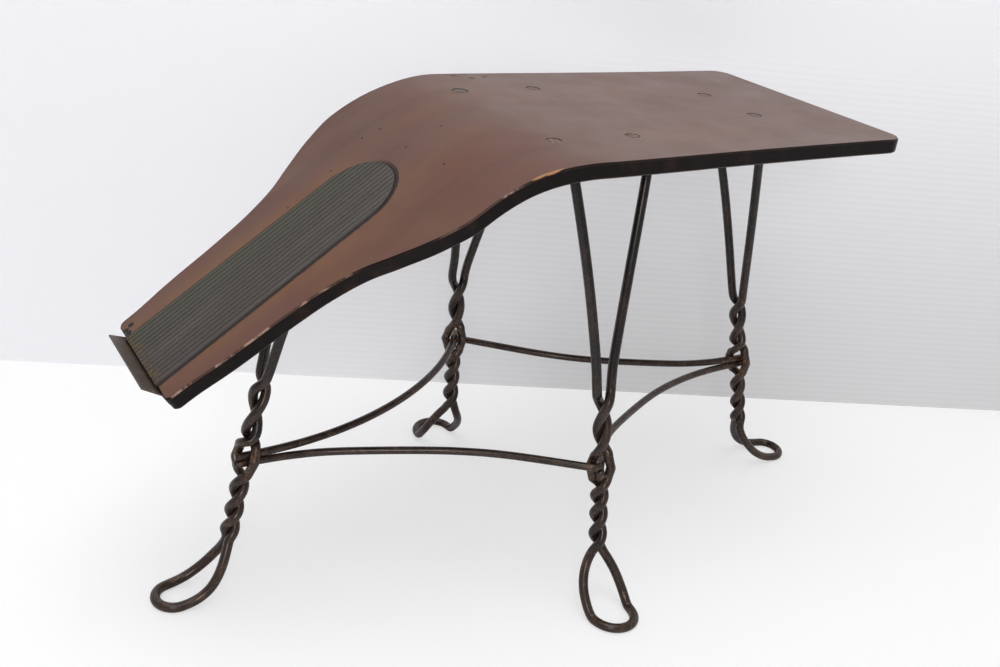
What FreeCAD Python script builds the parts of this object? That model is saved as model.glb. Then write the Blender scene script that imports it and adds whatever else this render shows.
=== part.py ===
import FreeCAD, Part
import math
import os
import Sketcher

# A shoe fitting stool of the shop kind: a bent board to sit on, whose front
# half slopes down to a ribbed tread for the customer's foot, on four legs of
# twisted wire tied by four bowed stretchers. +Z is up, the sloping ramp runs
# towards -X, and the floor is z = 0 under the middle of the stool.

Vec = FreeCAD.Vector
UP = Vec(0, 0, 1)
ALONG = Vec(1, 0, 0)
ACROSS = Vec(0, 1, 0)

doc = FreeCAD.newDocument("shoe_fitting_stool")
sheet = doc.addObject("Spreadsheet::Sheet", "Sizes")

# The driving dimensions, in millimetres and degrees.
SIZES = [
    ("seat_height", 406.4, "floor to the top of the flat seat"),
    ("board_thickness", 12.7, "half inch board"),
    ("flat_end_x", 284.0, "back end of the seat"),
    ("bend_start_x", -48.4, "where the flat seat begins to bend down"),
    ("bend_radius", 172.7, "top face of the bend"),
    ("ramp_angle", 35.7, "slope of the ramp below level, degrees"),
    ("ramp_length", 249.5, "straight part of the ramp"),
    ("back_half_width", 125.5, "seat half width at its back end"),
    ("hip_half_width", 133.6, "seat half width at its widest"),
    ("bend_half_width", 129.6, "half width where the ramp begins"),
    ("toe_half_width", 66.0, "half width at the lower end of the ramp"),
    ("back_corner_radius", 17.0, "rounded back corners of the seat"),
    ("toe_corner_radius", 6.0, "rounded lower corners of the ramp"),
    ("edge_ease", 1.2, "eased edge of the board"),
    ("cut_overrun", 40.0, "how far cuts and blanks reach past what they shape"),
    ("tread_half_width", 41.0, "rubber tread"),
    ("tread_start", 9.5, "tread's round end below the top of the ramp"),
    ("tread_thickness", 3.2, "rubber sheet with its ribs"),
    ("rebate_depth", 2.6, "tread's recess in the ramp"),
    ("rib_pitch", 5.4, "spacing of the ribs"),
    ("rib_width", 3.4, "width of a rib"),
    ("rib_height", 1.1, "height of a rib"),
    ("tread_play", 0.7, "gap round the tread in its recess"),
    ("stop_half_width", 52.0, "heel stop"),
    ("stop_thickness", 1.2, "sheet steel of the heel stop"),
    ("stop_flange", 8.6, "part of the stop flat on the board's end"),
    ("stop_lip", 15.2, "part of the stop that leans out"),
    ("stop_lean", 31.0, "lean of the lip, degrees"),
    ("stop_clip", 7.0, "lip's ends drawn in"),
    ("stop_corner", 3.0, "rounded upper corners of the stop"),
    ("stop_hole", 2.6, "spare nail hole in the lip"),
    ("stop_hole_side", 46.0, "spare nail hole from the middle"),
    ("stop_hole_out", 2.0, "spare nail hole above the ramp's top face"),
    ("nail_shank", 2.0, "nails of the heel stop"),
    ("nail_head", 5.0, "head across"),
    ("nail_head_height", 1.2, "head height"),
    ("nail_length", 14.0, "under the head"),
    ("nail_half_width", 40.0, "outer nails from the middle"),
    ("nail_fit", 0.05, "nail in its hole, each side"),
    ("leg_wire", 8.0, "leg wire across, five sixteenths of an inch"),
    ("rod_wire", 6.3, "stretcher wire across, a quarter inch"),
    ("strand_gap", 1.0, "between the two strands of a twist"),
    ("foot_wear", 0.5, "flat worn under the foot loops"),
    ("rod_gap", 1.5, "stretcher to the strand beside it"),
    ("rod_stack_gap", 0.7, "between the two stretchers in an eye"),
    ("rod_tip", 9.0, "stretcher's end past the middle of an eye"),
    ("rod_straight", 11.0, "stretcher's straight before the middle of an eye"),
    ("rod_heading", 56.0, "stretcher through a side leg's eye, degrees from the stool's length"),
    ("rod_hook", 101.0, "stretcher's turn round a side leg's strand, degrees"),
    ("front_left_bow", 22.5, "stretcher's bow in from a straight line"),
    ("front_right_bow", 33.5, "stretcher's bow in from a straight line"),
    ("back_left_bow", 28.5, "stretcher's bow in from a straight line"),
    ("back_right_bow", 26.5, "stretcher's bow in from a straight line"),
    ("bolt_shank", 6.3, "quarter inch leg bolts"),
    ("bolt_head", 12.2, "flat head across"),
    ("bolt_head_height", 2.6, "flat head"),
    ("bolt_play", 0.25, "bolt in its hole, each side"),
    ("bolt_tail", 1.6, "bolt past its nut"),
    ("thread_play", 0.1, "bolt in its nut, each side"),
    ("plug_across", 12.7, "wooden plug over a bolt head"),
    ("plug_fit", 0.1, "plug in its bore, each side"),
    ("plug_height", 3.4, "bore of a plug, down to the bolt head"),
    ("plug_sink", 0.15, "plug below the seat's face"),
    ("tab_across", 18.0, "flattened end of a strand"),
    ("tab_thickness", 4.4, "flattened end of a strand"),
    ("tab_neck", 13.0, "flattened end to the middle of its hole"),
    ("tab_gap", 0.6, "flattened end below the board"),
    ("wire_drop", 0.3, "round wire below the face of its flattened end"),
    ("strand_bend", 8.2, "bend of a strand under the board"),
    ("washer_across", 14.0, "washer under the tab"),
    ("washer_thickness", 1.2, "washer under the tab"),
    ("nut_across", 11.0, "hexagon nut across its flats"),
    ("nut_height", 5.4, "hexagon nut"),
    ("side_bolt_front", 8.0, "front bolts of the side legs, past the start of the bend"),
    ("side_bolt_back", 67.4, "back bolts of the side legs, behind the start of the bend"),
    ("side_bolt_half_width", 74.5, "bolts of the side legs from the middle"),
    ("back_bolt_inset", 98.0, "bolts of the back leg from the seat's end"),
    ("back_bolt_half_width", 35.0, "bolts of the back leg from the middle"),
    ("front_bolt_inset", 157.5, "bolts of the front leg up from the ramp's end"),
    ("front_bolt_half_width", 23.0, "bolts of the front leg from the middle"),
    ("side_fork_reach", 12.3, "bolts of a side leg out to where its strands bend"),
    ("side_fork_shift", 11.4, "bolts of a side leg back to where its strands bend"),
    ("front_fork_reach", 23.8, "bolts of the front leg out to where its strands bend"),
    ("front_fork_shift", 1.0, "bolts of the front leg in to where its strands bend"),
    ("back_fork_reach", 16.2, "bolts of the back leg out to where its strands bend"),
    ("back_fork_shift", 2.0, "bolts of the back leg in to where its strands bend"),
    ("side_eye_height", 134.3, "eye of a side leg"),
    ("front_eye_height", 124.5, "eye of the front leg"),
    ("back_eye_height", 128.7, "eye of the back leg"),
    ("side_eye_back", 46.0, "eye of a side leg behind the start of the bend"),
    ("side_eye_offset", 130.0, "eye of a side leg from the middle"),
    ("front_eye_offset", 45.4, "eye of the front leg beyond its bolts"),
    ("back_eye_offset", 84.0, "eye of the back leg beyond its bolts"),
    ("side_eye_half_width", 8.4, "strand from the middle of a side leg's eye"),
    ("end_eye_half_width", 9.2, "strand from the middle of an end leg's eye"),
    ("eye_half_height", 9.2, "top of an eye above its middle"),
    ("side_twist_lean", 0.075, "outward lean of a side leg's twist, per unit of drop"),
    ("front_twist_lean", 0.186, "outward lean of the front leg's twist"),
    ("back_twist_lean", 0.264, "outward lean of the back leg's twist"),
    ("side_drift_lean", 0.081, "lean of a side leg's twist towards the back"),
    ("side_foot_reach", 52.0, "foot loop past the bottom of the twist"),
    ("front_foot_reach", 62.0, "foot loop past the bottom of the twist"),
    ("back_foot_reach", 69.7, "foot loop past the bottom of the twist"),
    ("side_foot_half_width", 19.5, "foot loop of a side leg"),
    ("end_foot_half_width", 16.5, "foot loop of an end leg"),
    ("side_foot_skew", 3.0, "outer end of a side leg's loop towards the back"),
]

# What follows from them: depths below the board's top face, and bores.
DERIVED = [
    ("over_face", "-cut_overrun", "start of a cut from above"),
    ("under_board", "board_thickness + cut_overrun", "end of a cut through"),
    ("seat_head_low", "plug_height + bolt_head_height", "under a bolt's head in the seat"),
    ("ramp_head_low", "rebate_depth + bolt_head_height", "under a bolt's head in the ramp"),
    ("tab_top", "board_thickness + tab_gap", "top of a flattened end"),
    ("wire_middle", "tab_top + wire_drop + leg_wire / 2", "middle of a strand under the board"),
    ("tab_low", "tab_top + tab_thickness", "top of a washer"),
    ("washer_low", "tab_low + washer_thickness", "top of a nut"),
    ("nut_low", "washer_low + nut_height", "underside of a nut"),
    ("bolt_end", "nut_low + bolt_tail", "end of a bolt"),
    ("bolt_bore", "bolt_shank + bolt_play + bolt_play", "hole for a bolt"),
    ("thread_bore", "bolt_shank + thread_play + thread_play", "hole of a nut"),
    ("plug_bore", "plug_across + plug_fit + plug_fit", "bore for a plug and a bolt's head"),
    ("nail_bore", "nail_shank + nail_fit + nail_fit", "hole for a nail"),
]

for row, (alias, value, note) in enumerate(SIZES + DERIVED, start=1):
    sheet.set("A%d" % row, note)
    sheet.set("B%d" % row, "=%s" % value)
    sheet.setAlias("B%d" % row, alias)
doc.recompute()


def size(alias):
    return float(sheet.get(alias))


def feature(label, shape, placement=FreeCAD.Placement()):
    piece = doc.addObject("Part::Feature", label)
    piece.Label = label
    piece.Shape = shape
    piece.Placement = placement
    return piece


def joined(label, parts):
    piece = doc.addObject("Part::MultiFuse", label)
    piece.Shapes = parts
    return piece


def together(label, parts):
    piece = doc.addObject("Part::Compound", label)
    piece.Links = parts
    return piece


def less(label, base, tool):
    piece = doc.addObject("Part::Cut", label)
    piece.Base = base
    piece.Tool = tool
    return piece


# Round bars and holes have ten sides, which is near enough to round.
ROUND_SIDES = 10
HEXAGON_SIDES = 6


def bar(label, seat, sides, across, start, end):
    """A bar on a bolt's axis, between two depths below the face that it enters.

    The seat is the point where the axis meets that face, and the way out of it."""
    point, out = seat
    made = doc.addObject("Part::Prism", label)
    made.Polygon = sides
    made.setExpression("Circumradius", "Sizes.%s / 2 / cos(180 deg / %d)" % (across, sides))
    made.setExpression("Height", "Sizes.%s - Sizes.%s" % (end, start))
    made.Placement = FreeCAD.Placement(point - out * size(end), FreeCAD.Rotation(UP, out))
    return made


def corner_reach(across):
    """From the middle of a round bar to its corners."""
    return across / 2 / math.cos(math.pi / ROUND_SIDES)


def cutter(seat, across, start, end):
    """The same round bar as a bare shape, to cut a hole with."""
    point, out = seat
    corner = ALONG * corner_reach(across)
    turned = [
        FreeCAD.Rotation(UP, 360 / ROUND_SIDES * index).multVec(corner)
        for index in range(ROUND_SIDES)
    ]
    shape = Part.Face(Part.makePolygon(turned + turned[:1])).extrude(UP * (end - start))
    shape.Placement = FreeCAD.Placement(point - out * end, FreeCAD.Rotation(UP, out))
    return shape


# The ramp's own directions: down its slope, and out of its top face.
SLOPE = math.radians(size("ramp_angle"))
DOWNHILL = Vec(-math.cos(SLOPE), 0, -math.sin(SLOPE))
RAMP_OUT = Vec(-math.sin(SLOPE), 0, math.cos(SLOPE))
RAMP_TOP = Vec(
    size("bend_start_x") - size("bend_radius") * math.sin(SLOPE),
    0,
    size("seat_height") - size("bend_radius") * (1 - math.cos(SLOPE)),
)
# The ramp's frame: x down its slope, y to its left and z out of its top face.
RAMP_FRAME = FreeCAD.Placement(RAMP_TOP, FreeCAD.Rotation(DOWNHILL, -ACROSS, RAMP_OUT))


def on_ramp(run, side=0.0, out=0.0):
    """A point given down the ramp, across it and out of its top face."""
    return RAMP_TOP + DOWNHILL * run + ACROSS * side + RAMP_OUT * out


# Bent wire. A route is a list of (point, direction) knots, and two tangent
# arcs join each knot to the next, as a bender would form the wire.
STRAIGHT = 1e-6


def tangent_arc(start, direction, end):
    chord = end - start
    aside = chord - direction * chord.dot(direction)
    if aside.Length < STRAIGHT * chord.Length:
        return Part.LineSegment(start, end).toShape()
    radius = chord.Length ** 2 / (2 * aside.Length)
    centre = start + aside.normalize() * radius
    middle = centre + ((start + end) * 0.5 - centre).normalize() * radius
    return Part.Arc(start, middle, end).toShape()


def two_arcs(start, first, end, last):
    chord = end - start
    both = chord.dot(first + last)
    turn = 2 * (first.dot(last) - 1)
    if abs(turn) < STRAIGHT:
        reach = chord.dot(chord) / (2 * both)
    else:
        reach = (both - math.sqrt(both ** 2 - turn * chord.dot(chord))) / turn
    joint = (start + first * reach + end - last * reach) * 0.5
    if (joint - start).cross(first).Length < STRAIGHT * chord.Length and \
            (end - joint).cross(last).Length < STRAIGHT * chord.Length:
        return [Part.LineSegment(start, end).toShape()]
    middle = arc_end_direction(start, first, joint)
    return [tangent_arc(start, first, joint), tangent_arc(joint, middle, end)]


def arc_end_direction(start, first, end):
    """The direction at the far end of the arc that leaves start along first."""
    chord = end - start
    along = chord * (2 * first.dot(chord) / chord.dot(chord))
    return (along - first).normalize()


def bent_route(knots):
    edges = []
    for (start, first), (end, last) in zip(knots, knots[1:]):
        edges.extend(two_arcs(start, first, end, last))
    return edges


# A wire is an eight sided bar, mitred wherever it turns. Its flats lie as far
# inside the round wire as its corners lie outside.
WIRE_SIDES = 8
LEG_TURN = math.radians(30)
ROD_TURN = math.radians(10)
# A turn that stands out by less than this share of the wire is left straight.
STRAY_SHARE = 0.02


def turning_points(knots, most, stray):
    """The route as straight runs, each turned from the last by no more than most."""
    points = [knots[0][0]]
    for edge in bent_route(knots):
        turn = 0.0
        if isinstance(edge.Curve, Part.Circle):
            turn = edge.Length / edge.Curve.Radius
        count = max(math.ceil(turn / most), 1)
        points.extend(edge.discretize(count + 1)[1:])
    kept = points[:1]
    for here, after in zip(points[1:], points[2:]):
        if here.distanceToLine(kept[-1], after - kept[-1]) > stray:
            kept.append(here)
    return kept + points[-1:]


def wire_solid(knots, across, most):
    points = turning_points(knots, most, across * STRAY_SHARE)
    ahead = unit(points[1] - points[0])
    corner = unit(ahead.cross(UP) + ahead.cross(ALONG)) * across
    corner = corner / (1 + math.cos(math.pi / WIRE_SIDES))
    ring = [
        points[0] + FreeCAD.Rotation(ahead, 360 / WIRE_SIDES * index).multVec(corner)
        for index in range(WIRE_SIDES)
    ]
    section = Part.makePolygon(ring + ring[:1])
    mitred = 1
    return Part.makePolygon(points).makePipeShell([section], True, False, mitred)


def unit(vector):
    return Vec(vector).normalize()


def level_direction(degrees):
    turn = math.radians(degrees)
    return Vec(math.cos(turn), math.sin(turn), 0)


def heading(before, here, after):
    """Direction at the middle one of three points, along the circle through them."""
    back = here - before
    ahead = after - here
    return unit(back * (ahead.Length / back.Length) + ahead * (back.Length / ahead.Length))


# Seat board: half inch board bent to the ramp's slope and sawn to its outline.
def board_blank():
    """The bent board's side view, padded to more than its full width."""
    body = doc.addObject("PartDesign::Body", "board_blank")
    side = body.newObject("Sketcher::SketchObject", "board_side")
    plane = [item for item in body.Origin.OriginFeatures if item.Role == "XZ_Plane"][0]
    side.AttachmentSupport = [(plane, "")]
    side.MapMode = "FlatFace"
    top = size("seat_height")
    thick = size("board_thickness")
    bend_x = size("bend_start_x")
    radius = size("bend_radius")
    inner = radius - thick
    centre = Vec(bend_x, top - radius, 0)
    out = Vec(-math.sin(SLOPE), math.cos(SLOPE), 0)
    down = Vec(-math.cos(SLOPE), -math.sin(SLOPE), 0)
    corners = [
        Vec(size("flat_end_x"), top, 0),
        Vec(bend_x, top, 0),
        centre + out * radius,
        centre + out * radius + down * size("ramp_length"),
        centre + out * inner + down * size("ramp_length"),
        centre + out * inner,
        Vec(bend_x, top - thick, 0),
        Vec(size("flat_end_x"), top - thick, 0),
    ]
    quarter = math.pi / 2
    outer_arc = Part.ArcOfCircle(Part.Circle(centre, Vec(0, 0, 1), radius), quarter, quarter + SLOPE)
    inner_arc = Part.ArcOfCircle(Part.Circle(centre, Vec(0, 0, 1), inner), quarter, quarter + SLOPE)
    seat_top = side.addGeometry(Part.LineSegment(corners[0], corners[1]))
    bend_top = side.addGeometry(outer_arc)
    ramp_top = side.addGeometry(Part.LineSegment(corners[2], corners[3]))
    toe = side.addGeometry(Part.LineSegment(corners[3], corners[4]))
    ramp_under = side.addGeometry(Part.LineSegment(corners[4], corners[5]))
    bend_under = side.addGeometry(inner_arc)
    seat_under = side.addGeometry(Part.LineSegment(corners[6], corners[7]))
    back = side.addGeometry(Part.LineSegment(corners[7], corners[0]))
    first, second, middle = 1, 2, 3
    origin = -1
    for pair in [
        (seat_top, second, bend_top, first), (bend_top, second, ramp_top, first),
        (bend_under, second, ramp_under, second), (seat_under, first, bend_under, first),
    ]:
        side.addConstraint(Sketcher.Constraint("Tangent", *pair))
    side.addConstraint(Sketcher.Constraint("Horizontal", seat_under))
    side.addConstraint(Sketcher.Constraint("Parallel", ramp_top, ramp_under))
    for pair in [
        (ramp_top, second, toe, first), (toe, second, ramp_under, first),
        (seat_under, second, back, first), (back, second, seat_top, first),
        (bend_top, middle, bend_under, middle),
    ]:
        side.addConstraint(Sketcher.Constraint("Coincident", *pair))
    side.addConstraint(Sketcher.Constraint("Horizontal", seat_top))
    side.addConstraint(Sketcher.Constraint("Vertical", back))
    side.addConstraint(Sketcher.Constraint("Perpendicular", ramp_top, toe))
    for name, kind, where, value, cell in [
        ("top", "DistanceY", (origin, first, seat_top, first), top, "seat_height"),
        ("back_end", "DistanceX", (origin, first, seat_top, first), size("flat_end_x"), "flat_end_x"),
        ("flat", "Distance", (seat_top,), size("flat_end_x") - bend_x,
         "flat_end_x - Sizes.bend_start_x"),
        ("bend", "Radius", (bend_top,), radius, "bend_radius"),
        ("under", "Radius", (bend_under,), inner, "bend_radius - Sizes.board_thickness"),
        ("ramp", "Distance", (ramp_top,), size("ramp_length"), "ramp_length"),
        ("slope", "Angle", (bend_top,), SLOPE, "ramp_angle"),
    ]:
        index = side.addConstraint(Sketcher.Constraint(kind, *where, value))
        side.renameConstraint(index, name)
        unit_of = " * 1 deg" if kind == "Angle" else ""
        side.setExpression("Constraints." + name, "Sizes." + cell + unit_of)
    pad = body.newObject("PartDesign::Pad", "board_width")
    pad.Profile = side
    pad.Midplane = True
    pad.setExpression("Length", "(Sizes.hip_half_width + Sizes.cut_overrun) * 2")
    body.Tip = pad
    return body


# The outline, as shares of the lengths and half widths named in the sheet.
SEAT_SIDE_SHARES = [(0.0, 0.0), (0.3, 0.1), (0.6, 0.42), (0.82, 0.8), (1.0, 1.0)]
WAIST_SHARE = 1.2
RAMP_SIDE_SHARES = [
    (0.0, 1.0), (0.14, 0.84), (0.25, 0.6), (0.353, 0.36), (0.46, 0.225), (0.6, 0.145),
    (0.782, 0.09), (1.0, 0.0),
]


def side_route(points, first, last):
    knots = [(points[0], first)]
    for before, here, after in zip(points, points[1:], points[2:]):
        knots.append((here, heading(before, here, after)))
    knots.append((points[-1], last))
    return bent_route(knots)


def rounded_corner(side_point, corner, end_point):
    """The side, cut back by a quarter arc, and the square end after it."""
    reach = (corner - side_point).Length
    bulge = unit(side_point + end_point - corner * 2)
    middle = corner + bulge * (reach * (math.sqrt(2) - 1))
    return Part.Arc(side_point, middle, end_point).toShape()


def outline_face(half_edges):
    """A face from the edges of its one side, mirrored across the middle."""
    mirrored = [edge.mirror(Vec(0, 0, 0), ACROSS) for edge in half_edges]
    edges = Part.sortEdges(half_edges + mirrored)[0]
    return Part.Face(Part.Wire(edges))


def seat_outline():
    """Seen from above: the seat's back, sides and waist, and room for the ramp."""
    back_x = size("flat_end_x")
    length = back_x - size("bend_start_x")
    grow = size("hip_half_width") - size("back_half_width")
    corner_cut = size("back_corner_radius")
    far_x = RAMP_TOP.x - size("ramp_length") - size("cut_overrun")
    points = []
    for run, wide in SEAT_SIDE_SHARES:
        points.append(Vec(back_x - length * run, size("back_half_width") + grow * wide, 0))
    points[0] = points[0] - ALONG * corner_cut
    waist = Vec(back_x - length * WAIST_SHARE, size("bend_half_width"), 0)
    far = Vec(far_x, size("bend_half_width"), 0)
    corner = points[0] + ALONG * corner_cut
    edges = [Part.LineSegment(Vec(back_x, 0, 0), corner - ACROSS * corner_cut).toShape()]
    edges.append(rounded_corner(points[0], corner, corner - ACROSS * corner_cut))
    edges.extend(side_route(points, -ALONG, -ALONG))
    edges.extend(bent_route([(points[-1], -ALONG), (waist, -ALONG)]))
    edges.append(Part.LineSegment(waist, far).toShape())
    edges.append(Part.LineSegment(far, Vec(far_x, 0, 0)).toShape())
    return outline_face(edges).extrude(UP * (size("seat_height") + size("cut_overrun")))


def ramp_outline():
    """Square to the ramp: its shoulders, neck and lower end, and room for the seat."""
    length = size("ramp_length")
    toe = size("toe_half_width")
    grow = size("bend_half_width") - toe
    corner_cut = size("toe_corner_radius")
    room = size("hip_half_width") + size("cut_overrun")
    uphill = size("flat_end_x") - RAMP_TOP.x + size("cut_overrun")
    points = []
    for run, wide in RAMP_SIDE_SHARES:
        points.append(on_ramp(length * run, toe + grow * wide))
    corner = points[-1]
    points[-1] = corner - DOWNHILL * corner_cut
    end = corner - ACROSS * corner_cut
    edges = side_route(points, DOWNHILL, DOWNHILL)
    edges.append(rounded_corner(points[-1], corner, end))
    edges.append(Part.LineSegment(end, on_ramp(length)).toShape())
    wide_start = on_ramp(0, room)
    wide_back = on_ramp(-uphill, room)
    edges.append(Part.LineSegment(points[0], wide_start).toShape())
    edges.append(Part.LineSegment(wide_start, wide_back).toShape())
    edges.append(Part.LineSegment(wide_back, on_ramp(-uphill)).toShape())
    block = outline_face(edges)
    block.translate(RAMP_OUT * -uphill)
    return block.extrude(RAMP_OUT * (uphill + size("cut_overrun")))


def outer_edges(board):
    """The edges between a broad face of the board and its narrow sides."""
    end_area = size("board_thickness") * size("hip_half_width") * 2
    broad = []
    for face in board.Faces:
        low_u, high_u, low_v, high_v = face.ParameterRange
        normal = face.normalAt((low_u + high_u) / 2, (low_v + high_v) / 2)
        if abs(normal.y) < STRAIGHT and face.Area > end_area:
            broad.append(face)
    chosen = []
    for face in broad:
        others = [edge for other in broad if other is not face for edge in other.Edges]
        chosen.extend(
            edge for edge in face.Edges if not any(edge.isSame(other) for other in others))
    return chosen


def sawn_board(blank):
    """The bent blank sawn to its outline, with the long edges of both faces eased."""
    board = blank.common(seat_outline()).common(ramp_outline()).removeSplitter()
    return board.makeChamfer(size("edge_ease"), outer_edges(board))


def tread_block(play, low, high):
    """The tread's outline on the ramp, between two heights out of its top face."""
    half = size("tread_half_width")
    middle = size("tread_start") + half
    half = half + play
    end = size("ramp_length") + play
    edges = [
        Part.Arc(on_ramp(middle, -half), on_ramp(middle - half), on_ramp(middle, half)).toShape(),
        Part.LineSegment(on_ramp(middle, half), on_ramp(end, half)).toShape(),
        Part.LineSegment(on_ramp(end, half), on_ramp(end, -half)).toShape(),
        Part.LineSegment(on_ramp(end, -half), on_ramp(middle, -half)).toShape(),
    ]
    face = Part.Face(Part.Wire(edges))
    face.translate(RAMP_OUT * low)
    return face.extrude(RAMP_OUT * (high - low))


# A bolt stands square to the board, and a seat is the point of the top face
# where it enters, with the direction out of it.
def on_seat(x, side):
    top = size("seat_height")
    past = size("bend_start_x") - x
    if past <= 0:
        return Vec(x, side, top), UP
    radius = size("bend_radius")
    lean = math.asin(past / radius)
    out = Vec(-math.sin(lean), 0, math.cos(lean))
    centre = Vec(size("bend_start_x"), side, top - radius)
    return centre + out * radius, out


SIDES = (-1, 1)
SIDE_FRONT_BOLTS = [
    on_seat(size("bend_start_x") - size("side_bolt_front"), size("side_bolt_half_width") * side)
    for side in SIDES
]
SIDE_BACK_BOLTS = [
    on_seat(size("bend_start_x") + size("side_bolt_back"), size("side_bolt_half_width") * side)
    for side in SIDES
]
BACK_BOLTS = [
    on_seat(size("flat_end_x") - size("back_bolt_inset"), size("back_bolt_half_width") * side)
    for side in SIDES
]
FRONT_BOLTS = [
    (on_ramp(size("ramp_length") - size("front_bolt_inset"),
             size("front_bolt_half_width") * side), RAMP_OUT)
    for side in SIDES
]
SEAT_BOLTS = SIDE_FRONT_BOLTS + SIDE_BACK_BOLTS + BACK_BOLTS
BOLTS = SEAT_BOLTS + FRONT_BOLTS


def nail_places():
    """On the board's lower end: across it, and out of the ramp's top face."""
    out = size("stop_flange") / 2 - size("board_thickness")
    spread = size("nail_half_width")
    return [(side, out) for side in (-spread, 0, spread)]


def nail_seats():
    """The nails' places, each with the way out of the board's end."""
    return [(on_ramp(size("ramp_length"), side, out), DOWNHILL) for side, out in nail_places()]


def seat_board(blank):
    """The sawn board less its bores, the tread's recess and the nails' holes."""
    bores = []
    for seat in SEAT_BOLTS:
        bores.append(bar("bolt_bore", seat, ROUND_SIDES, "bolt_bore", "over_face", "under_board"))
        bores.append(bar("plug_bore", seat, ROUND_SIDES, "plug_bore", "over_face", "seat_head_low"))
    for seat in FRONT_BOLTS:
        bores.append(bar("bolt_bore", seat, ROUND_SIDES, "bolt_bore", "over_face", "under_board"))
        bores.append(bar("head_bore", seat, ROUND_SIDES, "plug_bore", "over_face", "ramp_head_low"))
    for seat in nail_seats():
        bores.append(bar("nail_bore", seat, ROUND_SIDES, "nail_bore", "over_face", "nail_length"))
    recess = tread_block(size("tread_play"), -size("rebate_depth"), size("cut_overrun"))
    bores.append(feature("tread_recess", recess))
    doc.recompute()
    board = feature("sawn_board", sawn_board(blank.Shape))
    return less("seat_board", board, joined("board_bores", bores))


def foot_tread():
    """Ribbed rubber sheet: a base with ribs running down the ramp."""
    base = -size("rebate_depth")
    valley = base + size("tread_thickness") - size("rib_height")
    top = base + size("tread_thickness")
    pitch = size("rib_pitch")
    width = size("rib_width")
    length = size("ramp_length")
    half = size("tread_half_width")
    each_side = int((half - width / 2) / pitch)
    ribs = []
    for place in range(-each_side, each_side + 1):
        rib = Part.makeBox(length, width, top - base)
        rib.translate(Vec(0, place * pitch - width / 2, base))
        ribs.append(rib)
    pattern = Part.makeCompound(ribs)
    pattern.Placement = RAMP_FRAME
    ribbed = tread_block(0, base, top).common(pattern)
    return tread_block(0, base, valley).fuse(ribbed.Solids).removeSplitter()


def heel_stop():
    """In the ramp's frame: a flange nailed to the ramp's end and a lip that leans out."""
    thick = size("stop_thickness")
    lean = math.radians(size("stop_lean"))
    end = size("ramp_length")
    low = -size("board_thickness")
    fold = low + size("stop_flange")
    overrun = size("cut_overrun")
    lip = Vec(math.sin(lean), 0, math.cos(lean)) * size("stop_lip")
    aside = Vec(math.cos(lean), 0, -math.sin(lean)) * thick
    outer_fold = fold - thick * math.tan(lean / 2)
    half = size("stop_half_width")
    corners = [
        Vec(end, 0, low), Vec(end, 0, fold), Vec(end, 0, fold) + lip,
        Vec(end, 0, fold) + lip + aside, Vec(end + thick, 0, outer_fold), Vec(end + thick, 0, low),
    ]
    sheet_side = Part.Face(Part.makePolygon(corners + corners[:1]))
    sheet_side.translate(ACROSS * -half)
    folded = sheet_side.extrude(ACROSS * half * 2)
    clip = size("stop_clip")
    reach = fold + size("stop_lip")
    outline = [
        Vec(0, -half, low), Vec(0, half, low), Vec(0, half - clip, reach),
        Vec(0, clip - half, reach),
    ]
    blank = Part.Face(Part.makePolygon(outline + outline[:1]))
    blank = blank.extrude(ALONG * (end + overrun))
    upper = [edge for edge in blank.Edges if edge.BoundBox.ZMin > fold and
             edge.BoundBox.XLength > end]
    stop = folded.common(blank.makeFillet(size("stop_corner"), upper))
    spare = (Vec(end, size("stop_hole_side"), size("stop_hole_out")), ALONG)
    stop = stop.cut(cutter(spare, size("stop_hole"), -overrun, overrun))
    for side, depth in nail_places():
        seat = (Vec(end, side, depth), ALONG)
        stop = stop.cut(cutter(seat, size("nail_bore"), -overrun, overrun))
    return stop


def heel_stop_nails():
    nails = []
    for point, out in nail_seats():
        face = point + out * size("stop_thickness")
        shank = cutter((face, out), size("nail_shank"), 0, size("nail_length"))
        head = cutter((face, out), size("nail_head"), -size("nail_head_height"), 0)
        nails.append(head.fuse(shank))
    return Part.makeCompound(nails)


# What hangs under the board on a bolt: the flattened end of a strand, a washer
# and a nut, each below the one before.
def leg_bolts():
    bolts = []
    for seat in BOLTS:
        start, under_head = "plug_height", "seat_head_low"
        if seat in FRONT_BOLTS:
            start, under_head = "rebate_depth", "ramp_head_low"
        bolts.append(joined("leg_bolt", [
            bar("bolt_head", seat, ROUND_SIDES, "bolt_head", start, under_head),
            bar("bolt_shank", seat, ROUND_SIDES, "bolt_shank", start, "bolt_end"),
        ]))
    return together("leg_bolts", bolts)


def leg_washers():
    return together("leg_washers", [
        less("leg_washer",
             bar("washer_disc", seat, ROUND_SIDES, "washer_across", "tab_low", "washer_low"),
             bar("washer_hole", seat, ROUND_SIDES, "bolt_bore", "tab_low", "washer_low"))
        for seat in BOLTS
    ])


def leg_nuts():
    return together("leg_nuts", [
        less("leg_nut",
             bar("nut_blank", seat, HEXAGON_SIDES, "nut_across", "washer_low", "nut_low"),
             bar("nut_hole", seat, ROUND_SIDES, "thread_bore", "washer_low", "nut_low"))
        for seat in BOLTS
    ])


def seat_plugs():
    """Wooden plugs flush with the seat over the six bolt heads in it."""
    return together("seat_plugs", [
        bar("seat_plug", seat, ROUND_SIDES, "plug_across", "plug_sink", "plug_height")
        for seat in SEAT_BOLTS
    ])


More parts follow.
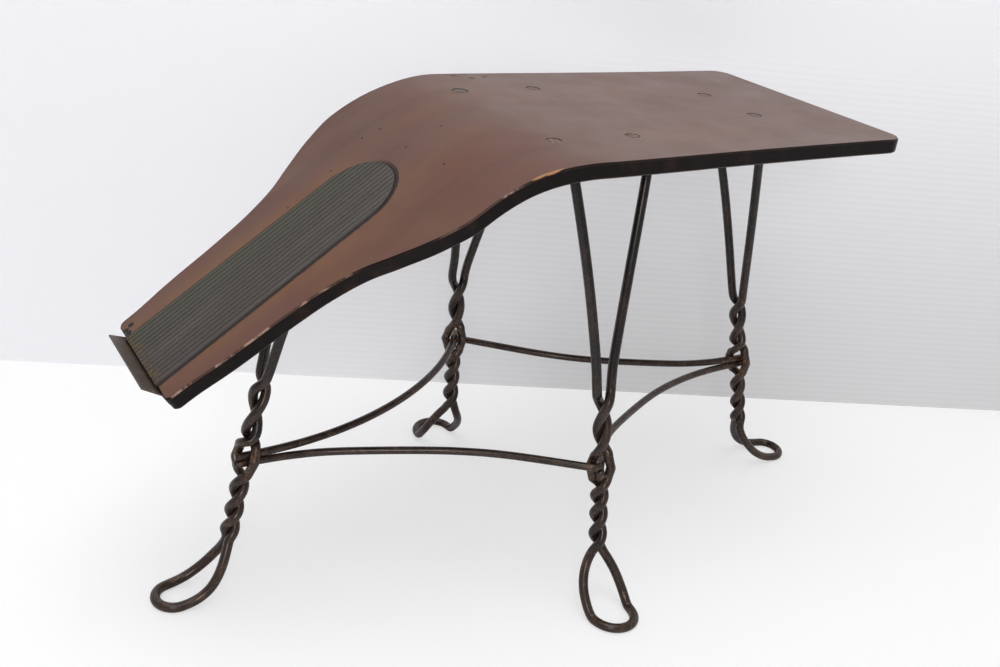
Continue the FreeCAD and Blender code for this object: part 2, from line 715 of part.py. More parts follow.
# A leg is one wire: down a strand from its bolt, twisted with its other half
# about a leaning axis, opened into an eye for the stretchers, twisted on, round
# the foot loop and back up the other strand. A row gives a height, the half
# turns made so far, and how far the strands have opened from lying side by side
# to the width of the eye. Heights above an eye are shares of the way from its
# top to the board, those at an eye of its half height, and those below of the
# height of its underside. The first row is where the strands part in a fork.
TWIST_SHARES = {
    "side": (
        [(0.3525, 0.0, 1.02), (0.2693, 0.0, 0.7), (0.2026, 0.5, 0.24), (0.1367, 1.0, 0.04),
         (0.0708, 1.5, 0.0)],
        [(1.753, 1.889, 0.52), (1.0, 2.13, 1.0), (-1.0, 2.233, 1.0), (-1.72, 2.5, 0.57)],
        [(0.8805, 3.0, 0.0), (0.8095, 3.5, 0.0), (0.7353, 4.0, 0.0), (0.659, 4.5, 0.0),
         (0.5796, 5.0, 0.0), (0.4959, 5.5, 0.04), (0.4132, 6.0, 0.1)],
    ),
    "front": (
        [(0.531, 0.0, 1.02), (0.4245, 0.0, 0.6), (0.3319, 0.5, 0.21), (0.2373, 1.0, 0.03),
         (0.1453, 1.5, 0.0), (0.0676, 2.0, 0.12)],
        [(1.778, 2.42, 0.4), (1.0, 2.77, 1.0), (-1.0, 2.878, 1.0), (-1.795, 3.167, 0.4)],
        [(0.8512, 3.667, 0.0), (0.755, 4.167, 0.0), (0.6707, 4.667, 0.0), (0.5933, 5.167, 0.0),
         (0.5116, 5.667, 0.0), (0.4514, 6.0, 0.0)],
    ),
    "back": (
        [(0.3333, 0.0, 1.02), (0.2662, 0.0, 0.6), (0.2065, 0.5, 0.21), (0.149, 1.0, 0.03),
         (0.0955, 1.5, 0.0), (0.0518, 2.0, 0.12)],
        [(1.778, 2.42, 0.4), (1.0, 2.77, 1.0), (-1.0, 2.878, 1.0), (-1.795, 3.167, 0.4)],
        [(0.8424, 3.667, 0.0), (0.7454, 4.167, 0.0), (0.6559, 4.667, 0.0), (0.5726, 5.167, 0.0),
         (0.4895, 5.667, 0.0), (0.4319, 6.0, 0.0)],
    ),
}
# How much of its last quarter turn the wire would still make as the loop opens.
LOOP_TURN_SHARE = 0.4
# The foot loop's knots, for each strand: a share of its half width, of the way
# out to where its end turns round, and of the height of the lowest twist.
FOOT_KNOT_SHARES = {
    "side": (
        [(0.47, 0.107, 0.85), (0.83, 0.297, 0.58), (1.03, 0.62, 0.25)],
        [(0.42, -0.01, 0.83), (0.8, 0.195, 0.55), (1.02, 0.6, 0.25)],
    ),
    "end": (
        [(0.47, 0.08, 0.85), (0.83, 0.225, 0.58), (1.03, 0.49, 0.25)],
        [(0.42, 0.0, 0.83), (0.8, 0.147, 0.55), (1.02, 0.47, 0.25)],
    ),
}


def eased_rate(before, after):
    """Between two rates: none where they part in sign, else nearer the slower."""
    if before * after <= 0:
        return 0.0
    return 2 * before * after / (before + after)


def in_face(direction, out):
    """A direction laid into the face that another stands square to."""
    return unit(direction - out * direction.dot(out))


class Leg:
    """The run of one leg's wire, from the sizes named for its kind."""

    def __init__(self, kind, eye, outward, fork_angle, bolts, shifts):
        self.eye = eye
        self.outward = outward
        self.fork_angle = fork_angle
        self.bolts = bolts
        self.twist_lean = size(kind + "_twist_lean")
        self.drift = size("side_drift_lean") if kind == "side" else 0
        self.skew = size("side_foot_skew") if kind == "side" else 0
        self.foot_reach = size(kind + "_foot_reach")
        width_of = "side" if kind == "side" else "end"
        self.eye_half_width = size(width_of + "_eye_half_width")
        self.foot_half_width = size(width_of + "_foot_half_width")
        self.foot_knot_shares = FOOT_KNOT_SHARES[width_of]
        self.close_spread = (size("leg_wire") + size("strand_gap")) / 2
        self.meets = [
            self.meet(kind, bolt, shift) for bolt, shift in zip(bolts, shifts)
        ]
        self.crown = (self.meets[0] + self.meets[1]) / 2
        self.rows = self.placed_rows(*TWIST_SHARES[kind])

    def meet(self, kind, bolt, shift):
        """Where a strand's straight fork would meet the level of its flattened end."""
        point, out = bolt
        under = point - out * size("wire_middle")
        under = under + in_face(self.outward, out) * size(kind + "_fork_reach")
        return under + in_face(shift, out) * size(kind + "_fork_shift")

    def placed_rows(self, upper, middle, lower):
        """The rows with their heights and the strands' distances from the axis."""
        half = size("eye_half_height")
        top = self.eye.z + half
        heights = [top + (self.crown.z - top) * row[0] for row in upper]
        heights += [self.eye.z + half * row[0] for row in middle]
        heights += [(self.eye.z - half) * row[0] for row in lower]
        grow = self.eye_half_width - self.close_spread
        return [
            (height, row[1], self.close_spread + grow * row[2])
            for height, row in zip(heights, upper + middle + lower)
        ]

    def axis(self, height):
        """The twist's leaning axis, and above the twist the line to the crown."""
        twist_top = self.rows[1][0] if height > self.eye.z else height
        drop = self.eye.z - min(height, twist_top)
        point = self.eye + self.outward * (self.twist_lean * drop) + ALONG * (self.drift * drop)
        point.z = min(height, twist_top)
        if height > twist_top:
            share = (height - twist_top) / (self.crown.z - twist_top)
            point = point + (self.crown - point) * share
        return point

    def arm(self, half_turns):
        """The direction from the axis to the first strand."""
        return level_direction(self.fork_angle - math.degrees(math.pi) * half_turns)

    def rates(self, index):
        """Half turns and opening per unit of height at a row, eased at each change."""
        here = self.rows[index]
        above = self.rows[index - 1]
        if here is self.rows[-1]:
            turned = here[1] + (here[1] - above[1]) * LOOP_TURN_SHARE
            below = (here[0] + here[0] - above[0], turned, here[2])
        else:
            below = self.rows[index + 1]
        rates = []
        for field in (1, 2):
            upper = (above[field] - here[field]) / (above[0] - here[0])
            lower = (here[field] - below[field]) / (here[0] - below[0])
            rates.append(eased_rate(upper, lower))
        return rates

    def knot(self, index, side):
        """A knot of a strand in the twist, going down."""
        height, turns, spread = self.rows[index]
        turn_rate, spread_rate = self.rates(index)
        axis_rise = unit(self.axis(height) - self.axis(height - self.close_spread))
        arm = self.arm(turns) * side
        arm = unit(arm - axis_rise * arm.dot(axis_rise))
        point = self.axis(height) + arm * spread
        swing = axis_rise.cross(arm) * (-turn_rate * math.pi * spread)
        return point, unit((axis_rise + arm * spread_rate + swing) * -1)

    def top_knots(self, which, side):
        """A strand from its flattened end, round under the board and down the fork."""
        point, out = self.bolts[which]
        meet = self.meets[which]
        height, turns, spread = self.rows[0]
        low = self.axis(height) + self.arm(turns) * (side * spread)
        rise = unit(meet - low)
        under = point - out * size("wire_middle")
        inward = unit(under - meet)
        begin = under - inward * (corner_reach(size("washer_across")) + size("bolt_play"))
        cut = size("strand_bend") * math.tan(rise.getAngle(inward) / 2)
        knots = [
            (begin, -inward), (meet + inward * cut, -inward), (meet - rise * cut, -rise),
            (low, -unit(rise + UP)),
        ]
        return knots, (point - out * size("tab_top"), out, inward)

    def foot_knots(self, side):
        """Down one side of the loop to the middle of its outer end."""
        height, turns, spread = self.rows[-1]
        middle = self.axis(height)
        half = self.foot_half_width
        sideways = self.arm(turns) * side
        low = size("leg_wire") / 2 - size("foot_wear")
        ahead = self.outward + ALONG * (self.skew / self.foot_reach)
        straight = self.foot_reach - half
        points = []
        for aside, beyond, share in self.foot_knot_shares[side < 0]:
            point = middle + sideways * (half * aside) + ahead * (straight * beyond)
            points.append(Vec(point.x, point.y, height * share))
        side_end = middle + sideways * half + ahead * straight
        side_end.z = low
        outer_end = middle + ahead * self.foot_reach
        outer_end.z = low
        return points, (side_end, unit(ahead)), (outer_end, -sideways)

    def half_route(self, which, side):
        """One strand from its bolt to the outer end of the foot loop."""
        knots, tab = self.top_knots(which, side)
        knots += [self.knot(index, side) for index in range(1, len(self.rows))]
        points, side_end, outer_end = self.foot_knots(side)
        chain = [knots[-1][0]] + points + [side_end[0]]
        for before, here, after in zip(chain, chain[1:], chain[2:]):
            knots.append((here, heading(before, here, after)))
        return knots + [side_end, outer_end], tab


def flattened_end(face, out, inward):
    """The flat eye of a strand round its bolt, and the neck to the round wire."""
    wire = size("leg_wire")
    thick = size("tab_thickness")
    disc = cutter((face, out), size("tab_across"), 0, thick)
    neck = Part.makeBox(size("tab_neck"), wire, thick)
    neck.translate(Vec(0, -wire / 2, -thick))
    neck.Placement = FreeCAD.Placement(
        face, FreeCAD.Rotation(-inward, out.cross(-inward), out)).multiply(neck.Placement)
    return disc.fuse(neck)


def leg(run):
    """The wire, its two flattened ends, and the flat worn under the loop."""
    first, first_tab = run.half_route(0, 1)
    second, second_tab = run.half_route(1, -1)
    back = [(point, -direction) for point, direction in reversed(second[:-1])]
    wire = wire_solid(first + back, size("leg_wire"), LEG_TURN)
    for tab in (first_tab, second_tab):
        wire = wire.fuse(flattened_end(*tab))
    for seat in run.bolts:
        wire = wire.cut(cutter(seat, size("bolt_bore"), 0, size("bolt_end")))
    foot = run.axis(0)
    reach = run.foot_reach + size("cut_overrun")
    floor = Part.makeBox(reach * 2, reach * 2, size("cut_overrun"))
    floor.translate(Vec(foot.x - reach, foot.y - reach, -size("cut_overrun")))
    return wire.cut(floor)


def side_leg(side):
    """A side leg's run: the left one is on side -1 and the right one on side 1."""
    which = SIDES.index(side)
    bolts = [SIDE_BACK_BOLTS[which], SIDE_FRONT_BOLTS[which]]
    eye_x = size("bend_start_x") + size("side_eye_back")
    eye = Vec(eye_x, size("side_eye_offset") * side, size("side_eye_height"))
    if side > 0:
        return Leg("side", eye, ACROSS, 180, bolts[::-1], [ALONG, ALONG])
    return Leg("side", eye, -ACROSS, 0, bolts, [ALONG, ALONG])


LEFT = side_leg(-1)
RIGHT = side_leg(1)
FRONT = Leg(
    "front",
    Vec(FRONT_BOLTS[0][0].x - size("front_eye_offset"), 0, size("front_eye_height")),
    -ALONG, -90, FRONT_BOLTS, [ACROSS, -ACROSS])
BACK = Leg(
    "back",
    Vec(BACK_BOLTS[0][0].x + size("back_eye_offset"), 0, size("back_eye_height")),
    ALONG, 90, BACK_BOLTS[::-1], [-ACROSS, ACROSS])


# Stretchers. Two meet in each eye, one above the other. In an end leg's eye both
# run straight along the stool; in a side leg's eye one runs straight through,
# and the other goes round the outside of a strand and back in.
ROD_LEVEL = (size("rod_wire") + size("rod_stack_gap")) / 2


def eye_point(run, level, along, aside, heading_degrees):
    """A point in an eye at one of its two levels, given along a heading and to its left."""
    centre = run.axis(run.eye.z + ROD_LEVEL * level)
    ahead = level_direction(heading_degrees)
    return centre + ahead * along + UP.cross(ahead) * aside


def end_knots(run, level):
    """From outside an end leg's eye, through it and out on the inner side."""
    inward = -run.outward
    degrees = math.degrees(inward.getAngle(ALONG))
    tip = eye_point(run, level, -size("rod_tip"), 0, degrees)
    inner = eye_point(run, level, size("rod_straight"), 0, degrees)
    return [(tip, inward), (inner, inward)]


def straight_knots(run, level, turned):
    """Towards a side leg's eye and straight through it."""
    degrees = size("rod_heading") + turned
    ahead = level_direction(degrees)
    inner = eye_point(run, level, -size("rod_straight"), 0, degrees)
    tip = eye_point(run, level, size("rod_tip"), 0, degrees)
    return [(inner, ahead), (tip, ahead)]


def hooked_knots(run, level, turned):
    """Round the outside of a side leg's strand, then in through the eye."""
    degrees = size("rod_heading") + turned
    strand = eye_point(run, level, 0, size("side_eye_half_width"), degrees)
    radius = (size("leg_wire") + size("rod_wire")) / 2 + size("rod_gap")
    begin_degrees = degrees - size("rod_hook")
    begin = strand + level_direction(begin_degrees - 90) * radius
    leave = strand + level_direction(degrees - 90) * radius
    halfway = degrees - size("rod_hook") / 2
    round_strand = strand + level_direction(halfway - 90) * radius
    tip = leave + level_direction(degrees) * size("rod_tip")
    return [
        (begin, level_direction(begin_degrees)), (round_strand, level_direction(halfway)),
        (leave, level_direction(degrees)), (tip, level_direction(degrees)),
    ]


def stretcher(start, end, bow):
    """A rod between two eyes, bowed in under the seat."""
    near, far = start[-1][0], end[0][0]
    chord = far - near
    inward = unit(UP.cross(chord))
    middle = (near + far) / 2
    if inward.dot(middle) > 0:
        inward = -inward
    bowed = (middle + inward * size(bow), unit(chord))
    return wire_solid(start + [bowed] + end, size("rod_wire"), ROD_TURN)


blank = board_blank()
doc.recompute()
NODES = [
    seat_board(blank),
    feature("foot_tread", foot_tread()),
    feature("heel_stop", heel_stop(), RAMP_FRAME),
    feature("heel_stop_nails", heel_stop_nails()),
    leg_bolts(),
    leg_washers(),
    leg_nuts(),
    seat_plugs(),
    feature("left_leg", leg(LEFT)),
    feature("right_leg", leg(RIGHT)),
    feature("front_leg", leg(FRONT)),
    feature("back_leg", leg(BACK)),
    feature("front_left_stretcher", stretcher(
        end_knots(FRONT, -1), hooked_knots(LEFT, 1, 0), "front_left_bow")),
    feature("front_right_stretcher", stretcher(
        end_knots(FRONT, 1), straight_knots(RIGHT, 1, 0), "front_right_bow")),
    feature("back_left_stretcher", stretcher(
        end_knots(BACK, -1), straight_knots(LEFT, -1, 180), "back_left_bow")),
    feature("back_right_stretcher", stretcher(
        end_knots(BACK, 1), hooked_knots(RIGHT, -1, 180), "back_right_bow")),
]
doc.recompute()

for item in doc.Objects:
    if "Invalid" in item.State or "Error" in item.State:
        raise RuntimeError("%s did not recompute: %s" % (item.Label, item.State))

os.makedirs("parts", exist_ok=True)
for node in NODES:
    if node.Shape.isNull() or not node.Shape.isValid() or not node.Shape.Solids:
        raise RuntimeError("%s has no valid solid" % node.Label)
    node.Shape.exportStep("parts/%s.step" % node.Label)
    print("%s: %d solids, %.1f cm3" % (node.Label, len(node.Shape.Solids), node.Shape.Volume / 1000))
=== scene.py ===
import math

import bmesh
import bpy
from mathutils import Matrix, Vector


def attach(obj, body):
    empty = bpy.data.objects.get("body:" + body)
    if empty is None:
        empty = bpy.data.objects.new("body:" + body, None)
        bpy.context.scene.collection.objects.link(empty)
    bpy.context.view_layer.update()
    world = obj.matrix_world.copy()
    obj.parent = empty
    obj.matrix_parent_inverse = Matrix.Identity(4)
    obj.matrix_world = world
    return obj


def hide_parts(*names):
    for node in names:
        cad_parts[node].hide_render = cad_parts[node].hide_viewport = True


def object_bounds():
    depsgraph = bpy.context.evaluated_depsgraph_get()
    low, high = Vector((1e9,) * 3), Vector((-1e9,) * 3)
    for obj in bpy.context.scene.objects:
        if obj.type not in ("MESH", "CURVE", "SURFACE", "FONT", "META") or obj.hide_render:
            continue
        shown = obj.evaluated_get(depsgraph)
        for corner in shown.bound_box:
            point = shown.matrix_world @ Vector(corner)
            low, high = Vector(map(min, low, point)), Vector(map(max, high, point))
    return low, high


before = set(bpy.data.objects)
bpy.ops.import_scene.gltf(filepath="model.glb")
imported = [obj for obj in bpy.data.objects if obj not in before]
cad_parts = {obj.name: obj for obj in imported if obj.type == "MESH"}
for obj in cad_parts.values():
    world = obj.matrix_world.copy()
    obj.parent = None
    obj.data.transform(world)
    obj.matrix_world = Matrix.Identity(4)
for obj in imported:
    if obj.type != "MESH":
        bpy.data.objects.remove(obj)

cad_low, cad_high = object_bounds()


# The seat and ramp are one board, bent where the seat meets the ramp. It is
# stained red brown under a thin satin varnish, its sawn edge is painted nearly
# black, and the paint is rubbed off in a broken line along the upper rim.
to_back = Vector((1.0, 0.0, 0.0))
to_right = Vector((0.0, 1.0, 0.0))
upward = Vector((0.0, 0.0, 1.0))
seat_top = 0.4064
bend_start = -0.0484
bend_radius = 0.1727
ramp_slope = math.radians(35.7)
downhill = Vector((-math.cos(ramp_slope), 0.0, -math.sin(ramp_slope)))
ramp_out = Vector((-math.sin(ramp_slope), 0.0, math.cos(ramp_slope)))
bend_centre = Vector((bend_start, 0.0, seat_top - bend_radius))
ramp_top = bend_centre + ramp_out * bend_radius
tread_start = 0.0095
tread_half_width = 0.041
tread_round = tread_start + tread_half_width

stain_brown = (0.130, 0.065, 0.046)
stain_red = (0.132, 0.055, 0.037)
grey_and_sheen = (0.190, 0.140, 0.122)
stain_dark = (0.078, 0.043, 0.034)
stain_rubbed = (0.185, 0.088, 0.038)
edge_black = (0.0085, 0.0058, 0.0060)
edge_brown = (0.028, 0.015, 0.011)
under_brown = (0.050, 0.028, 0.019)
rim_pale = (0.400, 0.260, 0.205)
bare_wood = (0.380, 0.185, 0.080)
scratch_grain = (900.0, 260.0, 1.0)

nail_holes = [
    (-0.1516, 0.0625, 0.3722), (-0.1831, 0.0504, 0.3496), (-0.2208, 0.0465, 0.3225),
    (-0.1387, 0.0566, 0.3809), (-0.1394, 0.0074, 0.3805), (-0.1084, 0.0094, 0.3956),
    (-0.1346, -0.0468, 0.3833), (-0.0823, 0.0615, 0.4030),
]
scuffs = [
    (-0.0212, 0.1300, seat_top), (-0.0211, 0.1150, seat_top), (-0.0352, 0.1240, seat_top),
    (-0.0060, 0.1180, seat_top),
]
dark_plugs = [(-0.0560, 0.0745, 0.4062)]
scratched_plugs = [(-0.0560, -0.0745, 0.4062), (0.0190, -0.0745, seat_top)]
toe_chips = [(-0.3495, 0.0502, 0.2300), (-0.3449, 0.0529, 0.2333), (-0.3486, 0.0447, 0.2307)]
rim_chips = [Vector((-0.1012, -0.1283, 0.3982)), Vector((-0.0905, -0.1292, 0.4008))]
# Places are multiplied by this for the rim's chips, which run along the edge.
chip_squeeze = Vector((0.22, 1.5, 0.22))


def add(tree, kind, choices=None, **sockets):
    """A node in a tree: its own choices, then its sockets by name, value or link."""
    made = tree.nodes.new("ShaderNode" + kind)
    for name, value in (choices or {}).items():
        setattr(made, name, value)
    for name, value in sockets.items():
        feed(tree, made.inputs[name.replace("_", " ")], value)
    return made


def feed(tree, socket, value):
    """Gives a socket a link, a colour or a plain value."""
    if isinstance(value, bpy.types.NodeSocket):
        tree.links.new(value, socket)
    elif socket.type == "RGBA":
        socket.default_value = (*value, 1.0)
    else:
        socket.default_value = value


def worked_out(tree, kind, operation, values):
    """The outputs of a node that works out a sum from its first sockets."""
    made = add(tree, kind, {"operation": operation})
    for socket, value in zip(made.inputs, values):
        feed(tree, socket, value)
    return made.outputs


def maths(tree, operation, *values):
    return worked_out(tree, "Math", operation, values)[0]


def vectors(tree, operation, *values):
    return worked_out(tree, "VectorMath", operation, values)


def product(tree, *values):
    total = values[0]
    for value in values[1:]:
        total = maths(tree, "MULTIPLY", total, value)
    return total


def along(tree, vector, direction):
    """How far a place lies along a direction."""
    return vectors(tree, "DOT_PRODUCT", vector, direction)["Value"]


def mix(tree, mask, first, second):
    return add(tree, "MixRGB", Fac=mask, Color1=first, Color2=second).outputs[0]


def ramped(tree, value, low, high):
    """0 at low, 1 at high, smooth between."""
    made = add(tree, "MapRange", {"interpolation_type": "SMOOTHSTEP"}, Value=value)
    made.inputs["From Min"].default_value = low
    made.inputs["From Max"].default_value = high
    return made.outputs[0]


def noise(tree, vector, scale, detail=4.0, roughness=0.55):
    """Noise of one scale, or of a scale for each axis."""
    if isinstance(scale, tuple):
        vector, scale = vectors(tree, "MULTIPLY", vector, scale)[0], 1.0
    made = add(tree, "TexNoise", Vector=vector, Scale=scale, Detail=detail, Roughness=roughness)
    return made.outputs[0]


def patches(tree, vector, band, *texture):
    """Soft patches of a noise: 0 where it is below a band of values, 1 above it."""
    return ramped(tree, noise(tree, vector, *texture), *band)


def finish_of(name):
    """A new material: its tree, its shader and the Object coordinates."""
    material = bpy.data.materials.new(name)
    material.use_nodes = True
    tree = material.node_tree
    place = tree.nodes.new("ShaderNodeTexCoord").outputs["Object"]
    return material, tree, tree.nodes["Principled BSDF"], place


def relief(tree, shader, height, strength, distance):
    bump = add(tree, "Bump", Height=height, Strength=strength, Distance=distance)
    feed(tree, shader.inputs["Normal"], bump.outputs[0])


def effect(name, inputs, outputs):
    """A node group with float, vector or colour sockets, and its two ends."""
    group = bpy.data.node_groups.new(name, "ShaderNodeTree")
    for label, kind in inputs:
        group.interface.new_socket(label, in_out="INPUT", socket_type="NodeSocket" + kind)
    for label, kind in outputs:
        group.interface.new_socket(label, in_out="OUTPUT", socket_type="NodeSocket" + kind)
    start = group.nodes.new("NodeGroupInput")
    end = group.nodes.new("NodeGroupOutput")
    return group, start.outputs, end.inputs


def placed(tree, group, **sockets):
    """The outputs of a node group set in a material."""
    made = tree.nodes.new("ShaderNodeGroup")
    made.node_tree = group
    for name, value in sockets.items():
        feed(tree, made.inputs[name], value)
    return made.outputs


# Rubbed edges: how far the surface turns within a radius, broken up by noise.
edge_wear, given, result = effect(
    "edge wear",
    [("Vector", "Vector"), ("Radius", "Float"), ("Turn", "Float"), ("Breakup", "Float")],
    [("Mask", "Float")],
)
rounded = add(edge_wear, "Bevel", {"samples": 6}, Radius=given["Radius"]).outputs[0]
flat = edge_wear.nodes.new("ShaderNodeNewGeometry").outputs["Normal"]
turn = maths(edge_wear, "SUBTRACT", 1.0, along(edge_wear, rounded, flat))
turn = maths(edge_wear, "DIVIDE", turn, given["Turn"])
patchy = noise(edge_wear, given["Vector"], 90.0, 6.0, 0.7)
patchy = maths(edge_wear, "MULTIPLY_ADD", patchy, given["Breakup"], turn)
patchy = maths(edge_wear, "SUBTRACT", patchy, given["Breakup"])
feed(edge_wear, result["Mask"], ramped(edge_wear, patchy, 0.0, 0.35))


# Long grain: soft streaks and short dark pores that run along the piece's x.
long_grain, given, result = effect(
    "long grain", [("Vector", "Vector")], [("Streaks", "Float"), ("Pores", "Float")]
)
sway = noise(long_grain, given["Vector"], 4.0, 2.0)
swayed = vectors(long_grain, "MULTIPLY_ADD", sway, to_right * 0.04, given["Vector"])[0]
feed(long_grain, result["Streaks"], noise(long_grain, swayed, (3.0, 45.0, 12.0), 6.0, 0.6))
pores = patches(long_grain, swayed, (0.62, 0.74), (60.0, 1300.0, 400.0), 3.0)
feed(long_grain, result["Pores"], pores)


# A spot: 1 inside a radius of a place, with a ragged rim.
spot, given, result = effect(
    "spot",
    [("Vector", "Vector"), ("Centre", "Vector"), ("Radius", "Float"), ("Ragged", "Float")],
    [("Mask", "Float")],
)
reach = vectors(spot, "DISTANCE", given["Vector"], given["Centre"])["Value"]
share = maths(spot, "DIVIDE", reach, given["Radius"])
uneven = maths(spot, "SUBTRACT", noise(spot, given["Vector"], 400.0, 5.0, 0.7), 0.5)
share = maths(spot, "MULTIPLY_ADD", uneven, given["Ragged"], share)
feed(spot, result["Mask"], ramped(spot, share, 1.15, 0.85))


def marks(tree, place, centres, radius, ragged):
    """One mask of several spots."""
    total = 0.0
    for centre in centres:
        mask = placed(tree, spot, Vector=place, Centre=centre, Radius=radius, Ragged=ragged)[0]
        total = maths(tree, "MAXIMUM", total, mask)
    return total


# Where a place lies from the tread: down the ramp, out of the ramp, and off the
# middle line of the tread, which starts at the centre of its round upper end.
tread_reach, given, result = effect(
    "tread reach",
    [("Vector", "Vector")],
    [("Run", "Float"), ("Raised", "Float"), ("Off", "Float")],
)
from_top = vectors(tread_reach, "SUBTRACT", given["Vector"], ramp_top)[0]
run = along(tread_reach, from_top, downhill)
above_round = maths(tread_reach, "MINIMUM", maths(tread_reach, "SUBTRACT", run, tread_round), 0.0)
aside = along(tread_reach, given["Vector"], to_right)
off = maths(tread_reach, "ADD", product(tread_reach, above_round, above_round),
            product(tread_reach, aside, aside))
feed(tread_reach, result["Run"], run)
feed(tread_reach, result["Raised"], along(tread_reach, from_top, ramp_out))
feed(tread_reach, result["Off"], maths(tread_reach, "SQRT", off))


board_finish, tree, shader, place = finish_of("stained board")
facing = tree.nodes.new("ShaderNodeNewGeometry").outputs["Normal"]
facing_up = along(tree, facing, upward)
top_face = ramped(tree, facing_up, 0.745, 0.775)
chamfer = maths(tree, "SUBTRACT", ramped(tree, facing_up, 0.38, 0.50), top_face)
underside = ramped(tree, facing_up, -0.55, -0.75)
grain = placed(tree, long_grain, Vector=place)
tread = placed(tree, tread_reach, Vector=place)
run, off_tread = tread["Run"], tread["Off"]
aside = along(tree, place, to_right)

# The stain on the top face, cloudy, with a painted sheen that greys and lightens the seat.
colour = mix(tree, patches(tree, place, (0.36, 0.66), 7.0), stain_brown, stain_red)
streaky = product(tree, ramped(tree, grain["Streaks"], 0.46, 0.74), 0.42)
colour = mix(tree, streaky, colour, stain_dark)
blotchy = patches(tree, place, (0.5, 0.78), (8.0, 14.0, 8.0), 5.0)
colour = mix(tree, product(tree, blotchy, 0.5), colour, stain_rubbed)
colour = mix(tree, product(tree, grain["Pores"], 0.35), colour, stain_dark)
cloudy = patches(tree, place, (0.48, 0.7), (11.0, 17.0, 11.0), 7.0, 0.6)
on_seat = ramped(tree, along(tree, place, to_back), -0.10, 0.03)
# On the seat a painted sheen greys and lightens the top face, over grey clouds in the stain.
clouds_and_sheen = maths(tree, "MULTIPLY_ADD", on_seat, 0.26, product(tree, cloudy, 0.10))
colour = mix(tree, clouds_and_sheen, colour, grey_and_sheen)

# The wood rubbed round the tread, a painted shadow for the gap beside it, the plugs and marks.
halo = product(
    tree, ramped(tree, off_tread, tread_half_width + 0.025, tread_half_width + 0.002),
    ramped(tree, run, -0.01, 0.05), patches(tree, place, (0.3, 0.62), 26.0, 5.0))
colour = mix(tree, product(tree, halo, 0.6), colour, stain_rubbed)
# A ragged line of painted shadow along the gap by the tread's near side and round end.
ragged = maths(tree, "MULTIPLY_ADD", noise(tree, place, 210.0, 5.0, 0.7), -0.0024, off_tread)
gap_shadow_painted = product(
    tree, ramped(tree, ragged, tread_half_width + 0.0027, tread_half_width + 0.0019),
    ramped(tree, aside, 0.026, -0.004), ramped(tree, run, 0.0, 0.01))
colour = mix(tree, product(tree, gap_shadow_painted, 0.93), colour, edge_black)
ringed = marks(tree, place, dark_plugs, radius=0.0082, ragged=0.9)
colour = mix(tree, product(tree, ringed, 0.75), colour, edge_black)
scratchy = patches(tree, place, (0.48, 0.62), scratch_grain, 5.0)
ringed = product(tree, marks(tree, place, scratched_plugs, radius=0.0074, ragged=0.9), scratchy)
colour = mix(tree, product(tree, ringed, 0.75), colour, rim_pale)
holes = marks(tree, place, nail_holes, radius=0.0011, ragged=0.5)
colour = mix(tree, holes, colour, edge_black)
scuffed = marks(tree, place, scuffs, radius=0.0030, ragged=5.0)
colour = mix(tree, scuffed, colour, edge_black)

# The painted edge, the underside and the rim, where the paint is rubbed off.
painted = mix(tree, patches(tree, place, (0.50, 0.75), 38.0, 6.0, 0.65), edge_black, edge_brown)
colour = mix(tree, top_face, painted, colour)
under = mix(tree, ramped(tree, grain["Streaks"], 0.4, 0.7), under_brown, edge_brown)
colour = mix(tree, underside, colour, under)
near_rim = ramped(tree, aside, 0.04, -0.04)
broken = patches(tree, place, (0.47, 0.56), 34.0, 8.0, 0.72)
on_ramp = ramped(tree, run, -0.06, -0.01)
rubbed_rim = product(tree, chamfer, near_rim, on_ramp, 0.9)
colour = mix(tree, rubbed_rim, colour, mix(tree, broken, stain_dark, rim_pale))
worn = placed(tree, edge_wear, Vector=place, Radius=0.0012, Turn=0.10, Breakup=1.7)["Mask"]
colour = mix(tree, product(tree, worn, 0.35), colour, stain_rubbed)
squeezed = vectors(tree, "MULTIPLY", place, chip_squeeze)[0]
chips = [chip * chip_squeeze for chip in rim_chips]
chipped = marks(tree, squeezed, chips, radius=0.0017, ragged=0.8)
chipped = product(tree, chipped, ramped(tree, facing_up, 0.30, 0.45))
colour = mix(tree, chipped, colour, bare_wood)
broken_toe = marks(tree, place, toe_chips, radius=0.0028, ragged=1.2)
colour = mix(tree, broken_toe, colour, edge_black)
feed(tree, shader.inputs["Base Color"], colour)

dull = maths(tree, "MULTIPLY_ADD", noise(tree, place, 22.0, 5.0), 0.28, 0.27)
feed(tree, shader.inputs["Roughness"], dull)
height = product(tree, grain["Pores"], -0.5)
height = maths(tree, "MULTIPLY_ADD", noise(tree, place, 60.0), 0.5, height)
for dent, depth in ((holes, 6.0), (chipped, 3.0), (broken_toe, 6.0), (scuffed, 1.0)):
    height = maths(tree, "MULTIPLY_ADD", dent, -depth, height)
relief(tree, shader, height, strength=0.35, distance=0.0003)
glossy = maths(tree, "MULTIPLY_ADD", top_face, 0.04, 0.12)
glossy = maths(tree, "MULTIPLY_ADD", product(tree, on_seat, top_face), 0.12, glossy)
feed(tree, shader.inputs["Specular IOR Level"], glossy)
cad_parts["seat_board"].data.materials[0] = board_finish


# The tread is a strip of rubber with broad ribs, let into the ramp and glued.
# It has gone grey with dust and greener along its far side, its near edge is painted black as the
# shadow of the gap beside it, its valleys are painted lighter, as dust and as painted light
# against their shade, and grit has gathered at its lower end behind the heel stop.
ramp_length = 0.2495
tread_bed = 0.0026
rib_crest = 0.0006
rib_ease = 0.0004
